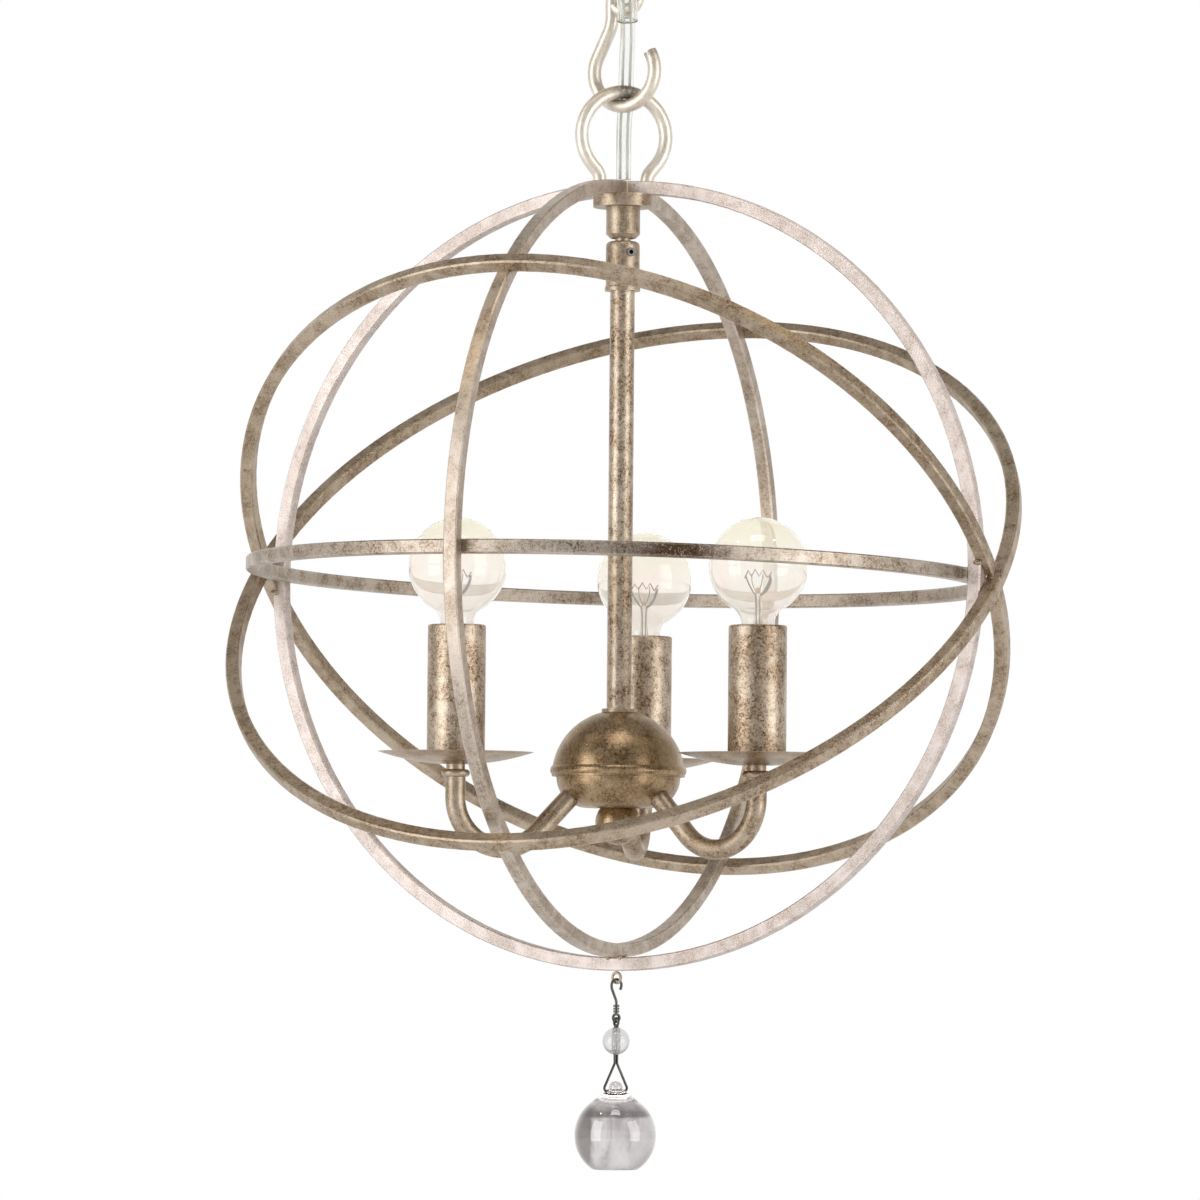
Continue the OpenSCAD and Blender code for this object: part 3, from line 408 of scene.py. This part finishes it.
class Shader(Nodes):
    """A material whose patterns lie in the part's own space."""

    def __init__(self, name):
        self.material = bpy.data.materials.new(name)
        self.material.use_nodes = True
        super().__init__(self.material.node_tree)
        self.bsdf = self.tree.nodes["Principled BSDF"]
        self.out = self.tree.nodes["Material Output"]
        self.place = self.add("ShaderNodeTexCoord").outputs["Object"]

    def set(self, values):
        for key, value in values.items():
            self.feed(self.bsdf.inputs[key], value)

    def noise(self, size, detail=4.0, rough=0.55, stretch=(1, 1, 1), twist=0.0):
        """Noise whose features are about size metres wide."""
        scaled = self.add("ShaderNodeMapping", {"Vector": self.place, "Scale": stretch})
        return self.add("ShaderNodeTexNoise", {"Vector": scaled.outputs["Vector"], "Scale": 1 / size,
                                               "Detail": detail, "Roughness": rough,
                                               "Distortion": twist}).outputs["Fac"]

    def mix(self, fac, a, b):
        node = self.add("ShaderNodeMix", data_type="RGBA")
        for index, value in ((0, fac), (6, a), (7, b)):
            self.feed(node.inputs[index], value)
        return node.outputs[2]

    def bump(self, height, depth, strength=1.0):
        return self.add("ShaderNodeBump", {"Height": height, "Distance": depth,
                                           "Strength": strength}).outputs["Normal"]

    def edges(self, radius):
        """1 on sharp edges, 0 on faces."""
        rounded = self.add("ShaderNodeBevel", {"Radius": radius}, samples=4).outputs["Normal"]
        true = self.add("ShaderNodeNewGeometry").outputs["Normal"]
        return self.level(self.vector("DOT_PRODUCT", rounded, true)["Value"], 0.99, 0.86)

    def near(self, spot, reach):
        """1 at a spot, 0 from reach metres away."""
        return self.level(self.vector("DISTANCE", self.place, spot)["Value"], reach, 0.3 * reach)

    def between(self, value, low, high, soft):
        """1 from low to high, falling to 0 over soft inside both ends."""
        return self.math("MULTIPLY", self.level(value, low, low + soft), self.level(value, high, high - soft))


def rgb(r, g, b):
    """A linear colour from 0-255 screen values."""
    def linear(v):
        v /= 255
        return v / 12.92 if v <= 0.04045 else ((v + 0.055) / 1.055) ** 2.4
    return linear(r), linear(g), linear(b)


# Finishes
def leaf_finish(name, light, mid, dark, patina=0.6, metallic=0.9, rough=0.34, worn=(), stains=()):
    """Aged metal leaf: a fine salt-and-pepper grain with painted glints over brown clouds, and edges
    lightened partly by rubbing, partly as a painted highlight.
    """
    s = Shader(name)
    clouds = s.noise(38 * MM, 5, 0.6, twist=0.6)
    patches = s.noise(10 * MM, 5, 0.65, twist=0.4)
    flecks = s.noise(1.7 * MM, 4, 0.7, twist=0.3)
    grain = s.noise(0.7 * MM, 2, 0.7)
    tone = s.math("ADD", s.math("MULTIPLY", clouds, 0.45), s.math("MULTIPLY", patches, 0.55))
    base = s.mix(s.level(tone, 0.42, 0.58), mid, light)
    base = s.mix(s.level(flecks, 0.46, 0.64, 0, 0.6), base, light)
    fine = s.math("ADD", flecks, s.math("MULTIPLY", grain, 0.9))
    speck = s.math("MULTIPLY", s.level(fine, 0.95, 0.80), s.level(patches, 0.58, 0.40, 0.2, 1))
    base = s.mix(s.math("MULTIPLY", speck, patina), base, dark)
    # A brighter colour: the bright grain flecks below are painted glints, and the edges take it as part wear,
    # part painted highlight.
    glint_and_wear_colour = [min(1, 1.3 * v) for v in light]
    base = s.mix(s.level(grain, 0.56, 0.68, 0, 0.55), base, glint_and_wear_colour)
    base = s.mix(s.level(grain, 0.45, 0.34, 0, 0.5 * patina), base, dark)
    for spot, reach in stains:
        base = s.mix(s.math("MULTIPLY", s.near(spot, reach), s.level(fine, 1.2, 1.0, 0, 0.9)), base, dark)
    # Lighter edges: partly rubbed wear, partly a painted highlight along the bevels.
    rubbed_and_highlit_edges = s.math("MULTIPLY", s.edges(0.9 * MM), s.level(flecks, 0.3, 0.6, 0.3, 0.85))
    base = s.mix(rubbed_and_highlit_edges, base, glint_and_wear_colour)
    for spot, reach in worn:
        bare = s.math("MULTIPLY", s.near(spot, reach), s.level(flecks, 0.36, 0.5))
        base = s.mix(bare, base, rgb(108, 108, 100))
    s.set({"Base Color": base, "Metallic": metallic,
           "Roughness": s.level(fine, 0.7, 1.15, rough - 0.06, rough + 0.16),
           "Normal": s.bump(fine, 0.3 * MM, 0.55 * patina)})
    return s.material


def metal_finish(name, colour, rough=0.32):
    """Bare metal with a fine grain and painted highlights along its edges."""
    s = Shader(name)
    fine = s.noise(0.8 * MM, 3, 0.6)
    broad = s.noise(9 * MM, 4, 0.6)
    tint = s.mix(s.level(broad, 0.35, 0.7), [0.7 * v for v in colour], colour)
    # Painted highlight: the edges lightened in colour.
    tint = s.mix(s.math("MULTIPLY", s.edges(0.4 * MM), 0.4), tint, [min(1, 1.3 * v) for v in colour])
    s.set({"Base Color": tint, "Metallic": 1.0,
           "Roughness": s.level(fine, 0.3, 0.7, rough - 0.07, rough + 0.12),
           "Normal": s.bump(fine, 0.05 * MM, 0.4)})
    return s.material


def plastic_finish(name, colour, rough=0.4):
    """Opaque moulded or drawn material with faint clouds."""
    s = Shader(name)
    fine = s.noise(0.6 * MM, 3, 0.6)
    broad = s.noise(14 * MM, 3, 0.5)
    s.set({"Base Color": s.mix(s.level(broad, 0.35, 0.7), [0.88 * v for v in colour], colour),
           "Roughness": s.level(fine, 0.3, 0.7, rough - 0.05, rough + 0.08),
           "Normal": s.bump(fine, 0.03 * MM, 0.3)})
    return s.material


def wire_finish(name, colour):
    """Dark wire, near white and less metallic where it runs through the bead."""
    s = Shader(name)
    low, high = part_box("glass_bead")
    fine = s.noise(0.8 * MM, 3, 0.6)
    inside = s.between(s.height(s.place), low.z, high.z, 1 * MM)
    tint = s.mix(s.level(s.noise(5 * MM, 4), 0.35, 0.7), [0.6 * v for v in colour], colour)
    s.set({"Base Color": s.mix(inside, tint, rgb(244, 244, 242)),
           "Metallic": s.level(inside, 0, 1, 1, 0.2),
           "Roughness": s.level(fine, 0.3, 0.7, 0.22, 0.4), "Normal": s.bump(fine, 0.05 * MM, 0.4)})
    return s.material


def clear_finish(name, tint, ior, rough):
    """Clear glass or plastic with a slightly rippled skin."""
    s = Shader(name)
    size = 7 * MM
    s.set({"Base Color": s.mix(s.level(s.noise(size, 3), 0.4, 0.65), tint, [0.96 * v for v in tint]),
           "Transmission Weight": 1.0, "IOR": ior,
           "Roughness": s.level(s.noise(2 * MM, 3), 0.35, 0.75, rough * 0.5, rough * 1.6),
           "Normal": s.bump(s.noise(size, 2, 0.4), 0.02 * MM, 0.5)})
    return s.material


def crystal_finish():
    """Polished clear glass with grey streaks and painted dark refractions: a band under its shoulder and a
    shade down the left of its front as the camera sees it.
    """
    s = Shader("crystal_polished")
    low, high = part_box("crystal_drop")
    tall = high.z - low.z
    radius = (high.x - low.x) / 2
    # Painted dark refraction: a wavy band under the shoulder.
    wavy = s.math("ADD", s.height(s.place), s.math("MULTIPLY", s.noise(9 * MM, 3, 0.5, twist=0.5), 2 * MM))
    painted_band = s.math("MULTIPLY", s.level(wavy, low.z + 0.6 * tall, low.z + 0.63 * tall),
                  s.level(wavy, low.z + 0.8 * tall, low.z + 0.68 * tall))
    streak = s.level(s.noise(6 * MM, 4, 0.6, (1, 1, 0.25), 0.5), 0.5, 0.7)
    # Painted dark refraction down the left of the front, placed by the camera's right and front ways.
    apart = s.vector("SUBTRACT", s.place, (low + high) / 2)[0]
    right, front = (s.vector("DOT_PRODUCT", apart, way)["Value"] for way in (RIGHT, FRONT))
    ragged = s.math("ADD", right, s.math("MULTIPLY", s.noise(5 * MM, 4, 0.6, (1, 1, 0.3), 0.5), 5 * MM))
    side = s.math("MULTIPLY", s.level(ragged, -0.36 * radius, -0.5 * radius), s.level(front, 0, 0.2 * radius))
    # Glass colour, darkened where the painted refractions lie.
    base = s.mix(streak, rgb(222, 217, 217), rgb(158, 152, 151))
    base = s.mix(s.math("MULTIPLY", side, 0.95), base, rgb(78, 70, 68))
    base = s.mix(s.math("MULTIPLY", painted_band, 0.9), base, rgb(62, 58, 60))
    s.set({"Base Color": base, "Transmission Weight": 1.0, "IOR": 1.52,
           "Roughness": s.level(s.noise(2 * MM, 3), 0.35, 0.75, 0.0, 0.012),
           "Coat Weight": 1.0, "Coat Roughness": 0.0,
           "Normal": s.bump(s.noise(14 * MM, 2, 0.4), 0.01 * MM, 0.4)})
    return s.material


def bead_finish():
    """Polished glass with a frosted bore."""
    s = Shader("bead_polished")
    low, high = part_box("glass_bead")
    apart = s.vector("SUBTRACT", s.place, (low + high) / 2)[0]
    flat = s.vector("MULTIPLY", apart, (1, 1, 0))[0]
    bore = s.level(s.vector("LENGTH", flat, (0, 0, 0))["Value"], 2.2 * MM, 1.9 * MM)
    s.set({"Base Color": s.mix(bore, rgb(232, 230, 230), rgb(250, 250, 250)),
           "Transmission Weight": s.level(bore, 0, 1, 1, 0.55), "IOR": 1.52,
           "Roughness": s.level(bore, 0, 1, 0.01, 0.5),
           "Normal": s.bump(s.noise(5 * MM, 2, 0.4), 0.01 * MM, 0.4)})
    return s.material


def bulb_finish():
    """Thin clear glass with a faint pearly coat and a faint painted glow, warmer towards the top."""
    s = Shader("bulb_glass_pearl")
    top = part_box("bulb_glass_1")[1].z
    warm = s.level(s.height(s.place), top - 24 * MM, top - 3 * MM, 0, 0.9)
    clouds = s.noise(20 * MM, 3, 0.5, twist=0.8)
    tint = s.mix(s.level(clouds, 0.38, 0.62), rgb(250, 250, 246), rgb(254, 247, 243))
    tint = s.mix(warm, tint, rgb(252, 250, 236))
    # The emission is a faint painted glow on unlit glass.
    s.set({"Base Color": tint, "Transmission Weight": 0.8, "IOR": 1.12,
           "Roughness": s.level(s.noise(4 * MM, 3), 0.3, 0.7, 0.01, 0.04),
           "Coat Weight": 0.5, "Coat Roughness": 0.05,
           "Emission Color": rgb(255, 252, 246), "Emission Strength": 0.06,
           "Normal": s.bump(s.noise(12 * MM, 2, 0.4), 0.02 * MM, 0.2)})
    return s.material


# Materials
LEVEL_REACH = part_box("ring_level")[1].x
STAIN = [(CAGE + FRONT * LEVEL_REACH + RIGHT * 28 * MM, 34 * MM)]
LEAF = leaf_finish("leaf_aged", rgb(196, 180, 160), rgb(152, 131, 107), rgb(90, 64, 40), 0.55)
LEAF_PINK = leaf_finish("leaf_bright", rgb(230, 219, 214), rgb(203, 189, 181), rgb(138, 114, 98), 0.55,
                        0.6, 0.42)
LEAF_SILVER = leaf_finish("leaf_silver", rgb(208, 196, 184), rgb(170, 154, 137), rgb(112, 88, 64), 0.45)
LEAF_GREY = leaf_finish("leaf_grey", rgb(204, 193, 181), rgb(160, 143, 124), rgb(78, 50, 28), 0.65,
                        stains=STAIN)
LEAF_TUBE = leaf_finish("leaf_tube", rgb(212, 198, 180), rgb(154, 130, 103), rgb(84, 54, 30), 0.8,
                        rough=0.28)
LEAF_DARK = leaf_finish("leaf_brown", rgb(180, 156, 124), rgb(132, 107, 78), rgb(88, 60, 34), 0.45,
                        rough=0.24)
LOOP_WEAR = [(Vector((0, 0, LOOP_TOP)), 9 * MM), (Vector((14 * MM, 0, HOOK_LOW + 28 * MM)), 7 * MM)]
PALE = leaf_finish("leaf_pale", rgb(247, 242, 232), rgb(232, 221, 204), rgb(168, 138, 104), 0.12,
                   0.65, 0.34, LOOP_WEAR)
STEEL = metal_finish("steel_plain", rgb(176, 174, 168))
DARK_WIRE = metal_finish("wire_dark", rgb(104, 102, 98), 0.3)
BAIL_WIRE = wire_finish("wire_bail", rgb(104, 102, 98))
BRASS = metal_finish("brass_bright", rgb(214, 180, 112), 0.25)
AMBER = plastic_finish("filament_amber", rgb(206, 150, 60), 0.3)
FILAMENT = plastic_finish("filament_wire", rgb(58, 42, 30), 0.4)
STEM_GLASS = clear_finish("bulb_stem_glass", rgb(246, 243, 232), 1.3, 0.05)
SOCKET = plastic_finish("socket_ivory", rgb(226, 220, 204))
CLEAR = clear_finish("clear_sleeve", rgb(250, 250, 247), 1.4, 0.04)
JACKET = clear_finish("clear_jacket", rgb(250, 251, 248), 1.3, 0.05)
TINNED = plastic_finish("core_tinned", rgb(226, 228, 222), 0.35)
CRYSTAL = crystal_finish()
BEAD = bead_finish()
BULB = bulb_finish()

# Every node that these two don't name has the plain aged leaf
FINISH_OF = {
    "mounting_strap": STEEL, "threaded_nipple": STEEL, "strap_locknut": STEEL, "cord_bushing": CLEAR,
    "power_cord": JACKET, "cord_sleeve": CLEAR, "hook": PALE, "suspension_loop": PALE,
    "ring_upright_outer": LEAF_PINK, "ring_upright_inner": LEAF_SILVER, "ring_level": LEAF_GREY,
    "set_screw": DARK_WIRE, "stem_tube": LEAF_TUBE, "body_rod": STEEL, "arm_core": STEEL,
    "body_upper_shell": LEAF_DARK, "body_lower_shell": LEAF_DARK, "finial": LEAF_DARK,
    "drop_hook": DARK_WIRE, "crystal_bail": BAIL_WIRE, "glass_bead": BEAD, "crystal_drop": CRYSTAL,
}
FAMILY = {"candle_sleeve": LEAF_TUBE, "dish": LEAF_DARK, "lamp_socket": SOCKET, "bulb_glass": BULB,
          "bulb_base": BRASS, "filament": FILAMENT}


def paint(obj, material):
    obj.data.materials.clear()
    obj.data.materials.append(material)


def paint_all():
    for name, node in NODES.items():
        paint(node, FINISH_OF.get(name) or FAMILY.get(name[:-2]) or LEAF)
    paint(cord_jacket, JACKET)
    paint(cord_tube, CLEAR)
    for core in cord_cores:
        paint(core, TINNED)
    for wires, stem, brass in filaments:
        paint(wires, FILAMENT)
        paint(stem, STEM_GLASS)
        paint(brass, AMBER)
    paint(welds, LEAF)


# Light
def view_vector(right, up, near):
    """A direction from the object, given along the view's own right, up and near ways."""
    turn = camera.matrix_world.to_3x3()
    return turn @ Vector((right, up, near))


def softbox(name, place, size, power, colour=(1, 1, 1)):
    """A lamp at a place from the cage's centre, facing it and itself unseen."""
    data = bpy.data.lights.new(name, "AREA")
    data.shape = "RECTANGLE"
    data.size, data.size_y = size
    data.energy = power
    data.color = colour
    light = bpy.data.objects.new(name, data)
    light.location = CAGE + place
    light.rotation_euler = (-place).to_track_quat("-Z", "Y").to_euler()
    light.visible_camera = False
    bpy.context.scene.collection.objects.link(light)


def build_world():
    """A studio whose backdrop is white to the eye, and to metal and glass where it is behind them."""
    world = bpy.data.worlds.new("studio")
    bpy.context.scene.world = world
    world.use_nodes = True
    world.node_tree.nodes.clear()
    n = Nodes(world.node_tree)
    way = n.add("ShaderNodeTexCoord").outputs["Generated"]
    height = n.height(way)
    behind = n.vector("DOT_PRODUCT", way, view_vector(0, 0, -1))["Value"]

    glow = n.math("MULTIPLY", n.level(behind, -0.6, 0.7, 0.4, 0.75), n.level(height, 0.15, 0.75, 1, 0.4))
    glow = n.math("MULTIPLY", glow, n.level(height, -0.75, -0.1, 0.55, 1))
    room = n.add("ShaderNodeBackground", {"Color": (1, 0.97, 0.93), "Strength": glow})
    white = n.add("ShaderNodeBackground", {"Color": (1, 1, 1), "Strength": 1.0})

    ray = n.add("ShaderNodeLightPath").outputs
    backdrop = n.level(behind, 0.5, 0.86)
    around = n.level(n.math("ABSOLUTE", height), 0.2, 0.6, 1, 0)
    around = n.math("MULTIPLY", around, n.math("MAXIMUM", backdrop, 0.4))
    in_metal = n.math("MULTIPLY", ray["Is Glossy Ray"], backdrop)
    in_glass = n.math("MULTIPLY", ray["Is Transmission Ray"], around)
    shown = n.math("MAXIMUM", n.math("MAXIMUM", in_metal, in_glass), ray["Is Camera Ray"])
    n.add("ShaderNodeOutputWorld", {"Surface": n.blend_shaders(shown, room, white).outputs[0]})


def floor_finish():
    """A pale floor that melts into the backdrop, keeps shadows and doesn't show from below."""
    s = Shader("floor_pale")
    s.set({"Base Color": s.mix(s.level(s.noise(0.3, 3), 0.35, 0.7), rgb(240, 239, 236), rgb(246, 245, 243)),
           "Roughness": 0.7})
    white = s.add("ShaderNodeEmission", {"Color": (1, 1, 1, 1), "Strength": 1.0})
    ray = s.add("ShaderNodeLightPath").outputs
    seen = s.math("MAXIMUM", ray["Is Camera Ray"],
                  s.math("MAXIMUM", ray["Is Glossy Ray"], ray["Is Transmission Ray"]))
    face = s.blend_shaders(s.math("MULTIPLY", seen, 0.86), s.bsdf, white)
    clear = s.add("ShaderNodeBsdfTransparent")
    below = s.add("ShaderNodeNewGeometry").outputs["Backfacing"]
    s.feed(s.out.inputs["Surface"], s.blend_shaders(below, face, clear).outputs[0])
    return s.material


def build_floor():
    """A plain pale floor far below the hanging light."""
    reach = 14.0
    bm = bmesh.new()
    corners = [bm.verts.new((x * reach, y * reach, FLOOR_Z)) for x, y in
               ((-1, -1), (1, -1), (1, 1), (-1, 1))]
    bm.faces.new(corners)
    floor = mesh_object("floor", bm, smooth=False)
    paint(floor, floor_finish())


# The scene
camera = place_camera()
cord_jacket, cord_tube, cord_cores = build_cord()
welds = build_welds()
filaments = [build_filament(i) for i in (1, 2, 3)]
paint_all()
build_world()
build_floor()
softbox("softbox_left", view_vector(-1.9, 0.3, 1.2), (1.3, 2.2), 23)
softbox("softbox_right", view_vector(1.9, 0.3, 1.2), (1.3, 2.2), 22)
softbox("top_panel", view_vector(0, 2.4, 0.9), (1.2, 0.8), 14)
softbox("lamp_warm_left", view_vector(-1.22, 1.55, 0.31), (0.11, 0.11), 2.6, (1, 0.8, 0.5))
softbox("lamp_warm_right", view_vector(1.04, 1.63, 0.56), (0.11, 0.11), 2.6, (1, 0.8, 0.5))
bpy.context.scene.view_settings.view_transform = "Standard"
